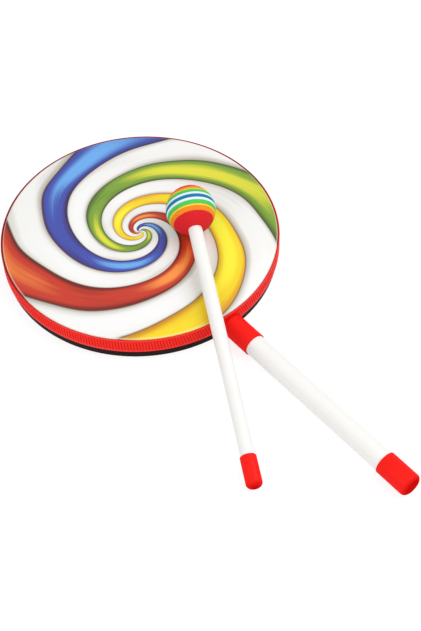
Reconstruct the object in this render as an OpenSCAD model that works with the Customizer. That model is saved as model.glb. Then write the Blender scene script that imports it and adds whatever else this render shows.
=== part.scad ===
// Lollipop drum: a shallow drum on a stick handle, with its foam-ball mallet lying across the head.
// Millimetres, +Z up. The handle runs along +X. The origin is on the table, under the middle of the outline.

/* [Hoop] */
// Outer diameter of the hoop
hoop_d = 200; // [170:1:260]
// Height of the hoop
hoop_h = 20.1; // [18.5:0.1:26]
// Thickness of the hoop's wall
hoop_wall = 6; // [4.5:0.5:10]
// Rounding of the outer bearing edge, which the film wraps over
edge_r = 2; // [1:0.1:3]
// Bevel inside the bearing edge, so that the film rings clear of the wall
bevel = 2.5; // [1:0.1:3]
// Chamfer on both edges of the foot
foot_chamfer = 0.8; // [0.3:0.1:1.5]

/* [Head] */
// Thickness of the printed film
film_t = 0.3; // [0.2:0.05:0.5]
// How far the film's skirt stops short of the band's lower edge
skirt_tuck = 1; // [0.5:0.1:2]

/* [Rim band] */
// Height of the band's lower edge above the table
band_foot = 7.85; // [5:0.05:8.5]
// Thickness of the band at a rib's crest
band_t = 1.1; // [0.9:0.05:1.6]
// How far the band's upper edge lies below the head
band_drop = 1.2; // [0.9:0.1:2.5]
// Spacing of the ribs round the rim
rib_pitch = 2.1; // [1.6:0.1:4]
// Depth of the grooves between the ribs
rib_depth = 0.45; // [0.2:0.05:0.6]

/* [Handle] */
// Outer diameter of the handle tube
tube_d = 15.4; // [13:0.1:16]
// Wall of the handle tube
tube_wall = 1.6; // [1.2:0.1:2.2]
// Length of the handle tube, from its seat on the rim
tube_len = 176.2; // [120:0.1:260]
// Room under the collar when the drum lies on a table
table_gap = 0.1; // [0:0.05:0.5]
// Length of the plug in the tube's drum end
plug_len = 40; // [30:1:60]

/* [Collar and cap] */
// Visible length of the collar, from the band
collar_len = 25.3; // [15:0.1:40]
// Wall of the collar
collar_wall = 0.75; // [0.6:0.05:1.2]
// Length of the collar's tapered drum end
collar_taper = 2; // [1:0.1:3]
// Length of the handle's end cap
cap_len = 24.8; // [15:0.1:40]
// Wall of the end cap
cap_wall = 0.55; // [0.4:0.05:0.8]
// Thickness of the end cap's closed end
cap_floor = 2.2; // [2:0.1:3]
// Rounding of the end cap's closed end
cap_round = 3; // [2:0.1:3.5]
// Chamfer on the open lips of the caps and the collar
lip_chamfer = 0.3; // [0.1:0.05:0.35]

/* [Handle screws] */
// Shank diameter of a screw
screw_d = 4; // [3:0.1:4.5]
// Length of a screw under its head
screw_len = 30; // [22:1:36]
// Head diameter of a screw
screw_head_d = 6.6; // [5.5:0.1:6.8]
// Head height of a screw
screw_head_h = 2.4; // [1.8:0.1:3]
// Spacing of the two screws, one above the other
screw_pitch = 7; // [7:0.1:7.4]

/* [Mallet] */
// Diameter of the foam ball
ball_d = 36; // [30:0.5:44]
// Thickness of the blue sheet in the ball's middle
blue_t = 2.8; // [2:0.1:4]
// Thickness of each white sheet
white_t = 2; // [1:0.1:3]
// Thickness of each green sheet
green_t = 3; // [2:0.1:4]
// Thickness of each yellow sheet
yellow_t = 1.1; // [0.8:0.1:2]
// Thickness of each orange sheet
orange_t = 3; // [2:0.1:4]
// Outer diameter of the stick
stick_d = 10; // [8:0.1:11]
// Wall of the stick
stick_wall = 1.4; // [1:0.1:2]
// Length of the stick, from its blind end in the ball
stick_len = 222.4; // [160:0.1:280]
// Length of the mallet's end cap
grip_cap_len = 22.2; // [15:0.1:35]
// Wall of the mallet's end cap
grip_cap_wall = 0.55; // [0.4:0.05:0.8]
// Thickness of the mallet cap's closed end
grip_cap_floor = 2; // [1.8:0.1:3]
// Rounding of the mallet cap's closed end
grip_cap_round = 3.5; // [2.5:0.1:4]

/* [How the mallet lies] */
// Ball's distance from the middle of the drum, along the handle
ball_x = 21.5; // [0:0.5:40]
// Ball's distance from the middle of the drum, across the handle
ball_y = 30.7; // [10:0.1:45]
// Direction of the stick, in degrees from the handle
stick_angle = -28.9; // [-40:0.1:-20]
// Gap left where the mallet rests on the drum
rest_gap = 0.3; // [0.2:0.05:0.5]

/* [Fits] */
// Glue line between pieces that are bonded or pushed together
glue_gap = 0.05; // [0.02:0.01:0.1]
// Room round the tube where it passes through the band
tube_room = 0.2; // [0.1:0.05:0.4]
// Room round a screw in the hoop's hole
screw_room = 0.1; // [0.05:0.05:0.2]

/* [Hidden] */
$fn = 96;
// How far a cutting shape runs past the face that it cuts
over = 1;

hoop_r = hoop_d / 2;
hoop_ri = hoop_r - hoop_wall;
film_ri = hoop_r + glue_gap;
film_r = film_ri + film_t;
head_under = hoop_h + glue_gap;
head_z = head_under + film_t;

band_ri = film_r + glue_gap;
band_r = band_ri + band_t;
band_top = head_z - band_drop;
band_h = band_top - band_foot;
rib_count = 4 * round(PI * band_r / (2 * rib_pitch));
rib_points = [
    for (i = [0 : 2 * rib_count - 1])
        let (r = band_r - (i % 2) * rib_depth, a = i * 180 / rib_count)
            [r * cos(a), r * sin(a)]
];

tube_r = tube_d / 2;
tube_ri = tube_r - tube_wall;
sleeve_ri = tube_r + glue_gap;
collar_r = sleeve_ri + collar_wall;
cap_r = sleeve_ri + cap_wall;
handle_z = max(collar_r, cap_r) + table_gap;
seat_r = film_r + glue_gap;
tube_end = seat_r + tube_len;
handle_end = tube_end + glue_gap + cap_floor;
plug_r = tube_ri - glue_gap;

screw_r = screw_d / 2;
screw_head_r = screw_head_d / 2;
screw_seat = sqrt(pow(hoop_ri, 2) - pow(screw_head_r, 2)) - glue_gap;
screw_tip = screw_d;
screw_point_r = screw_r / 4;
screw_head_round = screw_head_h / 2;

ball_r = ball_d / 2;
stick_r = stick_d / 2;
stick_ri = stick_r - stick_wall;
blue_end = blue_t / 2;
white_end = blue_end + white_t;
green_end = white_end + green_t;
yellow_end = green_end + yellow_t;
orange_end = yellow_end + orange_t;
stick_start = glue_gap - white_end;
stick_end = stick_start + stick_len;
grip_cap_ri = stick_r + glue_gap;
grip_cap_r = grip_cap_ri + grip_cap_wall;
mallet_end = stick_end + glue_gap + grip_cap_floor;

// The mallet's ball lies on the head and its stick on the rim, unless its cap meets the table first.
// Each tilt is the one at which the stick's axis stays a set distance from the point that it rests on.
ball_z = head_z + rest_gap + ball_r;
edge_ring = hoop_r - edge_r;
along_ball = ball_x * cos(stick_angle) + ball_y * sin(stick_angle);
rim_reach = sqrt(pow(along_ball, 2) + pow(edge_ring, 2) - pow(ball_x, 2) - pow(ball_y, 2)) - along_ball;
rim_drop = ball_z - (hoop_h - edge_r);
rim_stand = stick_r + rest_gap + edge_r + glue_gap + film_t;
rim_tilt = acos(rim_stand / norm([rim_drop, rim_reach])) - atan2(rim_reach, rim_drop);
foot_reach = mallet_end - grip_cap_round;
table_tilt = asin((ball_z - rest_gap) / norm([foot_reach, grip_cap_r])) - atan2(grip_cap_r, foot_reach);
mallet_tilt = min(rim_tilt, table_tilt);

// The drum's middle, placed so that the origin is halfway along the object
drum_x = (band_r - handle_end) / 2;

// Places a shape that stands on the drum's middle.
module at_drum() {
    translate([drum_x, 0, 0]) children();
}

// Turns a shape's Z axis along the handle, measured from the drum's middle.
module along_handle() {
    at_drum() translate([0, 0, handle_z]) rotate([0, 90, 0]) children();
}

// Turns a shape's Z axis along the stick, measured from the ball's middle.
module along_stick() {
    at_drum() translate([ball_x, ball_y, ball_z])
        rotate([0, mallet_tilt, stick_angle]) rotate([0, 90, 0]) children();
}

// Repeats a shape at the two screws, one above the other.
module at_screws() {
    for (side = [-1, 1]) translate([side * screw_pitch / 2, 0, 0]) children();
}

// The holes that the screws pass through, from inside the hoop to the outside of the rim.
module screw_holes() {
    along_handle() at_screws() translate([0, 0, screw_seat - over])
        cylinder(r = screw_r + screw_room, h = band_r - screw_seat + over);
}

// A column of the drum's radius r, for cutting the saddle ends that fit the rim.
module drum_column(r) {
    at_drum() translate([0, 0, -over]) cylinder(r = r, h = head_z + 2 * over, $fn = 360);
}

// Half section of a solid round bar whose far end has a rounded edge.
module bar_section(outer, length, round_r) {
    intersection() {
        square([outer, length]);
        union() {
            square([outer, length - round_r]);
            square([outer - round_r, length]);
            translate([outer - round_r, length - round_r]) circle(round_r);
        }
    }
}

// Half section of a dipped cap: open at the bottom, with a rounded closed end.
module cap_section(outer, bore, length, floor_t, round_r) {
    difference() {
        bar_section(outer, length, round_r);
        translate([0, -over]) square([bore, length - floor_t + over]);
        polygon([[outer - lip_chamfer - over, -over], [outer + over, -over],
                 [outer + over, lip_chamfer + over]]);
    }
}

module drum_hoop() color("#241d1c") difference() {
    at_drum() rotate_extrude($fn = 360) difference() {
        translate([hoop_ri, 0]) square([hoop_wall, hoop_h]);
        translate([hoop_r - edge_r, hoop_h - edge_r]) difference() {
            square(edge_r + over);
            circle(edge_r);
        }
        polygon([[hoop_ri - over, hoop_h - bevel - over], [hoop_ri - over, hoop_h + over],
                 [hoop_ri + bevel + over, hoop_h + over]]);
        polygon([[hoop_ri - over, foot_chamfer + over], [hoop_ri - over, -over],
                 [hoop_ri + foot_chamfer + over, -over]]);
        polygon([[hoop_r + over, foot_chamfer + over], [hoop_r + over, -over],
                 [hoop_r - foot_chamfer - over, -over]]);
    }
    screw_holes();
}

module drumhead() color("white") difference() {
    at_drum() rotate_extrude($fn = 360) {
        translate([0, head_under]) square([edge_ring, film_t]);
        translate([edge_ring, hoop_h - edge_r]) intersection() {
            difference() {
                circle(film_r - edge_ring);
                circle(film_ri - edge_ring);
            }
            square(film_r);
        }
        translate([film_ri, band_foot + skirt_tuck])
            square([film_t, hoop_h - edge_r - band_foot - skirt_tuck]);
    }
    screw_holes();
}

module rim_band() color("#e8281f") difference() {
    at_drum() translate([0, 0, band_foot]) difference() {
        linear_extrude(band_h) polygon(rib_points);
        translate([0, 0, -over]) cylinder(r = band_ri, h = band_h + 2 * over, $fn = 360);
    }
    along_handle() cylinder(r = tube_r + tube_room, h = band_r + over);
}

module handle_tube() color("ivory") difference() {
    along_handle() translate([0, 0, hoop_ri]) difference() {
        cylinder(r = tube_r, h = tube_end - hoop_ri);
        translate([0, 0, -over]) cylinder(r = tube_ri, h = tube_end - hoop_ri + 2 * over);
    }
    drum_column(seat_r);
}

module handle_plug() color("burlywood") difference() {
    along_handle() translate([0, 0, hoop_ri]) cylinder(r = plug_r, h = seat_r + plug_len - hoop_ri);
    along_handle() at_screws() translate([0, 0, hoop_ri])
        cylinder(r = screw_r + glue_gap, h = screw_seat + screw_len + glue_gap - hoop_ri);
    drum_column(seat_r);
}

module handle_screws() color("silver") along_handle() at_screws() translate([0, 0, screw_seat]) {
    cylinder(r = screw_r, h = screw_len - screw_tip);
    translate([0, 0, screw_len - screw_tip]) cylinder(r1 = screw_r, r2 = screw_point_r, h = screw_tip);
    mirror([0, 0, 1]) rotate_extrude() bar_section(screw_head_r, screw_head_h, screw_head_round);
}

module handle_collar() color("#ff231e") difference() {
    along_handle() rotate_extrude() polygon([
        [sleeve_ri, hoop_ri], [sleeve_ri + glue_gap, hoop_ri], [sleeve_ri + glue_gap, band_r],
        [collar_r, band_r + collar_taper], [collar_r, band_r + collar_len - lip_chamfer],
        [collar_r - lip_chamfer, band_r + collar_len], [sleeve_ri, band_r + collar_len]
    ]);
    drum_column(band_r + glue_gap);
}

module handle_cap() color("#ff231e") along_handle() translate([0, 0, handle_end - cap_len])
    rotate_extrude() cap_section(cap_r, sleeve_ri, cap_len, cap_floor, cap_round);

module mallet_stick() color("ivory") along_stick() translate([0, 0, stick_start]) difference() {
    cylinder(r = stick_r, h = stick_len);
    translate([0, 0, -over]) cylinder(r = stick_ri, h = stick_len + 2 * over);
}

module mallet_cap() color("#ff231e") along_stick() translate([0, 0, mallet_end - grip_cap_len])
    rotate_extrude() cap_section(grip_cap_r, grip_cap_ri, grip_cap_len, grip_cap_floor, grip_cap_round);

// One foam sheet of the ball, between two distances along the stick, drilled for the stick if it goes in.
module foam_sheet(from, to) along_stick() difference() {
    intersection() {
        sphere(ball_r);
        translate([0, 0, from]) cylinder(r = ball_d, h = to - from);
    }
    if (to > stick_start) translate([0, 0, stick_start - glue_gap])
        cylinder(r = stick_r + glue_gap, h = ball_d);
}

module foam_red_near() color("#dc1e28") foam_sheet(orange_end, ball_d);
module foam_orange_near() color("#f58a20") foam_sheet(yellow_end, orange_end);
module foam_yellow_near() color("#f6dc2c") foam_sheet(green_end, yellow_end);
module foam_green_near() color("#4cbf50") foam_sheet(white_end, green_end);
module foam_white_near() color("#e6fafa") foam_sheet(blue_end, white_end);
module foam_blue() color("#2070b0") foam_sheet(-blue_end, blue_end);
module foam_white_far() color("#e6fafa") foam_sheet(-white_end, -blue_end);
module foam_green_far() color("#4cbf50") foam_sheet(-green_end, -white_end);
module foam_yellow_far() color("#f6dc2c") foam_sheet(-yellow_end, -green_end);
module foam_orange_far() color("#f58a20") foam_sheet(-orange_end, -yellow_end);
module foam_red_far() color("#dc1e28") foam_sheet(-ball_d, -orange_end);

drum_hoop();
drumhead();
rim_band();
handle_tube();
handle_plug();
handle_screws();
handle_collar();
handle_cap();
mallet_stick();
mallet_cap();
foam_red_near();
foam_orange_near();
foam_yellow_near();
foam_green_near();
foam_white_near();
foam_blue();
foam_white_far();
foam_green_far();
foam_yellow_far();
foam_orange_far();
foam_red_far();
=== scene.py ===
"""Dresses a lollipop drum and its foam-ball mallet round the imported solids.

Lengths are in metres, in the frame of the solids: +X runs along the handle and +Z out of the drumhead.
"""

from __future__ import annotations

import logging
import math
import sys
from dataclasses import dataclass, replace
from enum import Enum
from typing import Optional, Self, Sequence, Union

import bmesh
import bpy
from bpy.types import ID, ColorRamp, Material, Mesh, NodeInputs, NodeSocket, NodeTree, Object, World
from mathutils import Matrix, Vector


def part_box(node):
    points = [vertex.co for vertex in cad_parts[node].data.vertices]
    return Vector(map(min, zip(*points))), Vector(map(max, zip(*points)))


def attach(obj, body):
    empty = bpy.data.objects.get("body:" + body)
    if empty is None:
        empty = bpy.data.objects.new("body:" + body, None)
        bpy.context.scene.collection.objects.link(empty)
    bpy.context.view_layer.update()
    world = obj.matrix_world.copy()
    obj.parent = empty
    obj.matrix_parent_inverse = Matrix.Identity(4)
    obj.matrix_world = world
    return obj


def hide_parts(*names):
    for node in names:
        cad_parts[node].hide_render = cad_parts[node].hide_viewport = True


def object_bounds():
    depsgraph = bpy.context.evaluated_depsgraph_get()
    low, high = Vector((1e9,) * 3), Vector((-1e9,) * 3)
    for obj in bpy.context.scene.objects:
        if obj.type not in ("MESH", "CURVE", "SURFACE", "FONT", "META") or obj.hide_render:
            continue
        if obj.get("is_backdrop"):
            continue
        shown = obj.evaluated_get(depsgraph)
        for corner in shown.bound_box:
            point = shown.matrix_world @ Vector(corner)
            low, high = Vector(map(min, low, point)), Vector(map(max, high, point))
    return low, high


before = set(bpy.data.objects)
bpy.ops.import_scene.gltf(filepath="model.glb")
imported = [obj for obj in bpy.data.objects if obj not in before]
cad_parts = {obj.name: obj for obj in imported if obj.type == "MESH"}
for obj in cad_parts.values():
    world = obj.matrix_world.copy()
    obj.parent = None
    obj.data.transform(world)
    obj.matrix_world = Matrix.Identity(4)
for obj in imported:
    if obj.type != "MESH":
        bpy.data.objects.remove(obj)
CAD_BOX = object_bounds()

LOG = logging.getLogger("lollipop_drum")
MM = 0.001
GLUE = 0.05 * MM
TUBE_EDGE_R = 0.3 * MM
SHARP_ANGLE = math.radians(32)
NEEDLE = 0.002 * MM
STRAIGHT = math.radians(25)

Triple = tuple[float, float, float]
Colour = Triple
Feed = Union["Value", float, int, str, bool, tuple, Vector, Material]


class Body(Enum):
    """The two bodies that pieces ride on."""

    DRUM = "drum"
    MALLET = "mallet"


class Entry(Enum):
    """The kinds of input that a shape recipe takes."""

    NUMBER = "NodeSocketFloat"
    COUNT = "NodeSocketInt"
    FINISH = "NodeSocketMaterial"


class Value:
    """An output socket that takes part in Python arithmetic, where each operation adds one Math node."""

    def __init__(self, sheet: NodeSheet, socket: NodeSocket) -> None:
        """Wraps a socket of a sheet's node."""
        self.sheet = sheet
        self.socket = socket

    def __add__(self, other: Feed) -> Value:
        """self + other"""
        return self.sheet.maths("ADD", self, other)

    def __sub__(self, other: Feed) -> Value:
        """self - other"""
        return self.sheet.maths("SUBTRACT", self, other)

    def __rsub__(self, other: Feed) -> Value:
        """other - self"""
        return self.sheet.maths("SUBTRACT", other, self)

    def __mul__(self, other: Feed) -> Value:
        """self * other"""
        return self.sheet.maths("MULTIPLY", self, other)

    def __truediv__(self, other: Feed) -> Value:
        """self / other"""
        return self.sheet.maths("DIVIDE", self, other)

    def __pow__(self, other: Feed) -> Value:
        """self to the power of other"""
        return self.sheet.maths("POWER", self, other)

    def __gt__(self, other: Feed) -> Value:
        """1 where self is greater than other, else 0"""
        return self.sheet.maths("GREATER_THAN", self, other)

    def __abs__(self) -> Value:
        """Size of self without its sign"""
        return self.sheet.maths("ABSOLUTE", self)

    __radd__ = __add__
    __rmul__ = __mul__

    def floor(self) -> Value:
        """Whole part of self."""
        return self.sheet.maths("FLOOR", self)

    def fract(self) -> Value:
        """What is left of self above its whole part."""
        return self.sheet.maths("FRACT", self)

    def cosine(self) -> Value:
        """Cosine of self in radians."""
        return self.sheet.maths("COSINE", self)

    def least(self, other: Feed) -> Value:
        """The lesser of self and other."""
        return self.sheet.maths("MINIMUM", self, other)

    def most(self, other: Feed) -> Value:
        """The greater of self and other."""
        return self.sheet.maths("MAXIMUM", self, other)


class NodeSheet:
    """A node tree that is written through one method for any node, with short forms for the common ones."""

    def __init__(self, tree: NodeTree) -> None:
        """Takes the tree to write in."""
        self.tree = tree

    @classmethod
    def blank(cls, owner: Union[Material, World]) -> Self:
        """Starts a sheet without the nodes that its owner comes with.

        Args:
            owner: The material or world.

        Returns:
            The empty sheet.
        """
        owner.use_nodes = True
        owner.node_tree.nodes.clear()
        return cls(owner.node_tree)

    def add(
        self,
        kind: str,
        settings: Optional[dict] = None,
        sockets: Optional[dict] = None,
        output: Union[int, str, None] = 0,
    ) -> Optional[Value]:
        """Adds a node.

        Args:
            kind: The node's type.
            settings: Its properties, set first; "stops" fills a colour ramp with (place, colour) pairs.
            sockets: Values or links for its inputs, by name or by number.
            output: The output to return, by name or by number, or None for a node that has none.

        Returns:
            The chosen output.
        """
        node = self.tree.nodes.new(kind)
        for name, setting in (settings or {}).items():
            if name == "stops":
                self._set_stops(node.color_ramp, setting)
            else:
                setattr(node, name, setting)
        for name, feed in (sockets or {}).items():
            self._connect(self._pick(node.inputs, name), feed)
        return None if output is None else Value(self, self._pick(node.outputs, output))

    @staticmethod
    def _pick(sockets: NodeInputs, name: Union[int, str]) -> NodeSocket:
        """Finds a socket.

        Args:
            sockets: A node's inputs or outputs.
            name: The socket's number, or its name among those in use.

        Returns:
            The socket.
        """
        if isinstance(name, int):
            return sockets[name]
        return next(socket for socket in sockets if socket.name == name and socket.enabled)

    def _connect(self, socket: NodeSocket, feed: Feed) -> None:
        """Links a value to a socket, or sets the socket's own number or colour.

        Args:
            socket: The input socket.
            feed: What it gets.
        """
        if isinstance(feed, Value):
            self.tree.links.new(feed.socket, socket)
        elif socket.type == "RGBA":
            socket.default_value = (*feed, 1.0)
        else:
            socket.default_value = feed

    @staticmethod
    def _set_stops(ramp: ColorRamp, stops: Sequence[tuple[float, Colour]]) -> None:
        """Fills a colour ramp with plain steps.

        Args:
            ramp: The new ramp, with its first two stops.
            stops: The place and the colour of each step.
        """
        ramp.interpolation = "CONSTANT"
        ramp.elements.remove(ramp.elements[1])
        ramp.elements[0].position = stops[0][0]
        ramp.elements[0].color = (*stops[0][1], 1.0)
        for place, colour in stops[1:]:
            ramp.elements.new(place).color = (*colour, 1.0)

    def maths(self, operation: str, *feeds: Feed) -> Value:
        """Adds a Math node of that operation."""
        return self.add("ShaderNodeMath", {"operation": operation}, dict(enumerate(feeds)))

    def others(self, value: Value, *names: str) -> list[Value]:
        """More outputs of the node that a value comes from."""
        return [Value(self, value.socket.node.outputs[name]) for name in names]

    def split(self, vector: Value) -> tuple[Value, Value, Value]:
        """The three parts of a vector."""
        x = self.add("ShaderNodeSeparateXYZ", {}, {"Vector": vector})
        return (x, *self.others(x, "Y", "Z"))

    def vector(self, x: Feed = 0.0, y: Feed = 0.0, z: Feed = 0.0) -> Value:
        """A vector of three parts."""
        return self.add("ShaderNodeCombineXYZ", {}, {"X": x, "Y": y, "Z": z})

    def ease(self, value: Value, start: Feed, end: Feed) -> Value:
        """A smooth step from 0 at start to 1 at end."""
        sockets = {"Value": value, "From Min": start, "From Max": end}
        return self.add("ShaderNodeMapRange", {"interpolation_type": "SMOOTHSTEP"}, sockets, "Result")


class PaintSheet(NodeSheet):
    """A material's node tree."""

    def place(self, axis: Axis, stretch: Triple = (1.0, 1.0, 1.0)) -> Value:
        """Object coordinates as an axis sees them.

        Args:
            axis: The axis that they start from and that their Z follows.
            stretch: The factor on each of them, above 1 where a pattern is to lie closer.

        Returns:
            The coordinates.
        """
        spot = self.add("ShaderNodeTexCoord", output="Object")
        sockets = {"Vector": spot, "Location": axis.origin, "Rotation": axis.matrix.to_euler()}
        seen = self.add("ShaderNodeMapping", {"vector_type": "TEXTURE"}, sockets)
        return self.add("ShaderNodeMapping", {}, {"Vector": seen, "Scale": stretch})

    def noise(self, spot: Value, grain: float, detail: float = 2.0) -> Value:
        """Soft noise from 0 to 1 whose lumps measure about one grain."""
        return self.add("ShaderNodeTexNoise", {}, {"Vector": spot, "Scale": 1.0 / grain, "Detail": detail})

    def cells(self, spot: Value, grain: float) -> Value:
        """Distance to the nearest of scattered points that lie about one grain apart, in grains."""
        return self.add("ShaderNodeTexVoronoi", {}, {"Vector": spot, "Scale": 1.0 / grain})

    def mix(self, share: Feed, first: Feed, second: Feed, blend: str = "MIX") -> Value:
        """The first colour, with that share of the second mixed in or laid over it."""
        sockets = {"Factor": share, "A": first, "B": second}
        return self.add("ShaderNodeMix", {"data_type": "RGBA", "blend_type": blend}, sockets, "Result")

    def bump(self, height: Value, depth: float, strength: float) -> Value:
        """A normal for a relief that is so deep and so strong."""
        sockets = {"Height": height, "Distance": depth, "Strength": strength}
        return self.add("ShaderNodeBump", {}, sockets, "Normal")

    def attribute(self, name: str) -> Value:
        """A number that the mesh carries."""
        return self.add("ShaderNodeAttribute", {"attribute_name": name}, output="Fac")


class ShapeSheet(NodeSheet):
    """A Geometry Nodes tree with named inputs, run on an object that holds its first shape."""

    def __init__(self, name: str) -> None:
        """Starts an empty tree.

        Args:
            name: The tree's name.
        """
        super().__init__(bpy.data.node_groups.new(name, "GeometryNodeTree"))
        for way in ("INPUT", "OUTPUT"):
            self.tree.interface.new_socket("Geometry", in_out=way, socket_type="NodeSocketGeometry")
        self.inlet = self.tree.nodes.new("NodeGroupInput")
        self.outlet = self.tree.nodes.new("NodeGroupOutput")
        self.shape = Value(self, self.inlet.outputs["Geometry"])
        self.given: dict[str, Feed] = {}

    def entry(self, name: str, feed: Feed, kind: Entry = Entry.NUMBER) -> Value:
        """Adds a named input and notes what it is given.

        Args:
            name: The input's name.
            feed: What it is given when the tree runs.
            kind: What it takes.

        Returns:
            The input, for use in the tree.
        """
        item = self.tree.interface.new_socket(name, in_out="INPUT", socket_type=kind.value)
        self.given[item.identifier] = feed
        return Value(self, next(x for x in self.inlet.outputs if x.identifier == item.identifier))

    def close(self, shape: Value, finish: Value) -> None:
        """Ends the tree: instances become real, and the finish is set.

        Args:
            shape: The whole shape.
            finish: The input that holds its finish.
        """
        real = self.add("GeometryNodeRealizeInstances", {}, {"Geometry": shape})
        done = self.add("GeometryNodeSetMaterial", {}, {"Geometry": real, "Material": finish})
        self.tree.links.new(done.socket, self.outlet.inputs["Geometry"])

    def run(self, piece: Object) -> None:
        """Gives an object the plain mesh that the tree makes of its first shape.

        Args:
            piece: The object.
        """
        modifier = piece.modifiers.new(self.tree.name, "NODES")
        modifier.node_group = self.tree
        for identifier, feed in self.given.items():
            modifier[identifier] = feed
        bake(piece)


@dataclass(frozen=True)
class Axis:
    """A line that round pieces are turned about."""

    origin: Vector
    along: Vector

    @property
    def matrix(self) -> Matrix:
        """The frame whose Z runs along the axis and whose Y points up."""
        return Matrix.Translation(self.origin) @ self.along.to_track_quat("Z", "Y").to_matrix().to_4x4()


@dataclass(frozen=True)
class Corner:
    """One corner of a turned piece's half section, or one point of it once the corners are rounded.

    The edge is how much a finish marks it, from 0 to 1, as wear, painted shade or a painted highlight. A
    seated corner follows the rim that the piece sits on, and the stretch that ends at a back corner takes
    the piece's second finish.
    """

    along: float
    radius: float
    rounding: float = 0.0
    edge: float = 0.0
    seated: bool = False
    back: bool = False

    @property
    def spot(self) -> Vector:
        """Its place in the section."""
        return Vector((self.along, self.radius))


@dataclass
class TurnedShape:
    """A half section turned about an axis. It closes on itself if it has a bore, or ends on the axis."""

    axis: Axis
    corners: Sequence[Corner]
    facets: int = 96
    rim_r: float = 0.0
    longest_step: float = 10 * MM
    degrees_per_step: float = 9.0
    most_reach: float = 0.49

    @property
    def bored(self) -> bool:
        """Whether the section stays clear of the axis."""
        return min(corner.radius for corner in self.corners) > 0

    def section(self) -> list[Corner]:
        """Rounds the corners and splits the long straight stretches.

        Returns:
            The section's points in order.
        """
        points: list[Corner] = []
        for i, corner in enumerate(self.corners):
            after = self.corners[(i + 1) % len(self.corners)]
            for point in self._round(self.corners[i - 1], corner, after):
                if points:
                    points.extend(self._stretch(points[-1], point))
                points.append(point)
        if self.bored:
            points.extend(self._stretch(points[-1], points[0]))
        return points

    def _round(self, before: Corner, corner: Corner, after: Corner) -> list[Corner]:
        """Rounds one corner, as far as the stretches beside it have room.

        Args:
            before: The corner before it.
            corner: The corner.
            after: The corner after it.

        Returns:
            The points of its arc, marked most in the middle or evenly more towards a marked corner, or the
            corner itself if it isn't rounded, marked in full if it is seated.
        """
        if corner.rounding <= 0:
            # A seated corner is marked in full, which the vinyl paints as shade where the collar meets the
            # band.
            return [replace(corner, edge=max(corner.edge, float(corner.seated)))]
        back = before.spot - corner.spot
        ahead = after.spot - corner.spot
        half = back.angle(ahead) / 2
        room = min(self._room(back, before), self._room(ahead, after))
        reach = min(corner.rounding / math.tan(half), room)
        inward = (back.normalized() + ahead.normalized()).normalized()
        centre = corner.spot + inward * (reach / math.cos(half))
        first = corner.spot + back.normalized() * reach - centre
        last = corner.spot + ahead.normalized() * reach - centre
        sweep = math.copysign(math.pi - 2 * half, first.x * last.y - first.y * last.x)
        steps = max(2, round(math.degrees(abs(sweep)) / self.degrees_per_step))
        arc = []
        for i in range(steps + 1):
            part = i / steps
            along, radius = centre + Matrix.Rotation(sweep * part, 2) @ first
            edge = after.edge * part if after.edge else math.sin(math.pi * part)
            arc.append(replace(corner, along=along, radius=radius, edge=edge))
        return arc

    def _room(self, stretch: Vector, beside: Corner) -> float:
        """How far a rounding may reach along a stretch, which is all the way to a corner on the axis."""
        return stretch.length * (self.most_reach if beside.radius > 0 else 1.0)

    def _stretch(self, first: Corner, second: Corner) -> list[Corner]:
        """Splits a long straight stretch.

        Args:
            first: The point before it.
            second: The point after it.

        Returns:
            The points between them, if any.
        """
        parts = math.ceil((second.spot - first.spot).length / self.longest_step)
        between = [first.spot.lerp(second.spot, i / parts) for i in range(1, parts)]
        return [Corner(*spot, back=second.back) for spot in between]

    def build(self, name: str, finishes: Sequence[Material]) -> Object:
        """Makes the piece.

        Args:
            name: The piece's name.
            finishes: Its finish, and a second one where corners are marked as its back.

        Returns:
            The piece, with the attribute "edge" that is 1 on its marked edges, shown by its finish as wear,
            painted shade or a painted highlight.
        """
        shape = bmesh.new()
        edge_layer = shape.verts.layers.float.new("edge")
        place = self.axis.matrix
        points = self.section()
        rings = []
        for point in points:
            ring = []
            for i in range(self.facets if point.radius > 0 else 1):
                angle = math.tau * i / self.facets
                across = point.radius * math.cos(angle)
                along = point.along
                if point.seated:
                    along += math.sqrt(self.rim_r**2 - across**2) - self.rim_r
                vertex = shape.verts.new(place @ Vector((across, point.radius * math.sin(angle), along)))
                vertex[edge_layer] = point.edge
                ring.append(vertex)
            rings.append(ring)
        for i in range(len(rings) if self.bored else len(rings) - 1):
            j = (i + 1) % len(rings)
            self._skin(shape, rings[i], rings[j], points[j].back)
        mesh = mesh_of(shape, name)
        for finish in finishes:
            mesh.materials.append(finish)
        return add_piece(name, mesh)

    def _skin(self, shape: bmesh.types.BMesh, first: list, second: list, back: bool) -> None:
        """Joins two rings with faces, or closes a ring on a pole.

        Args:
            shape: The shape that gets the faces.
            first: The points of the first ring, or one pole.
            second: The points of the second ring, or one pole.
            back: Whether the faces take the second finish.
        """
        for i in range(self.facets):
            j = (i + 1) % self.facets
            if len(first) == 1:
                corners = [first[0], second[i], second[j]]
            elif len(second) == 1:
                corners = [first[i], second[0], first[j]]
            else:
                corners = [first[i], second[i], second[j], first[j]]
            shape.faces.new(corners).material_index = int(back)


def mesh_of(shape: bmesh.types.BMesh, name: str) -> Mesh:
    """Writes a closed shape to a new mesh, with its faces turned outwards, and frees it.

    Args:
        shape: The shape.
        name: The mesh's name.

    Returns:
        The mesh.
    """
    bmesh.ops.recalc_face_normals(shape, faces=shape.faces)
    mesh = bpy.data.meshes.new(name)
    shape.to_mesh(mesh)
    shape.free()
    return mesh


def add_object(name: str, data: ID) -> Object:
    """Puts a mesh, lamp or camera in the scene.

    Args:
        name: The object's name.
        data: What it shows.

    Returns:
        The new object.
    """
    item = bpy.data.objects.new(name, data)
    bpy.context.scene.collection.objects.link(item)
    return item


def shade(mesh: Mesh) -> None:
    """Makes a mesh smooth apart from its sharp edges."""
    mesh.shade_smooth()
    mesh.set_sharp_from_angle(angle=SHARP_ANGLE)


def add_piece(name: str, mesh: Mesh) -> Object:
    """Puts a mesh in the scene, smooth apart from its sharp edges."""
    shade(mesh)
    return add_object(name, mesh)


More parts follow.
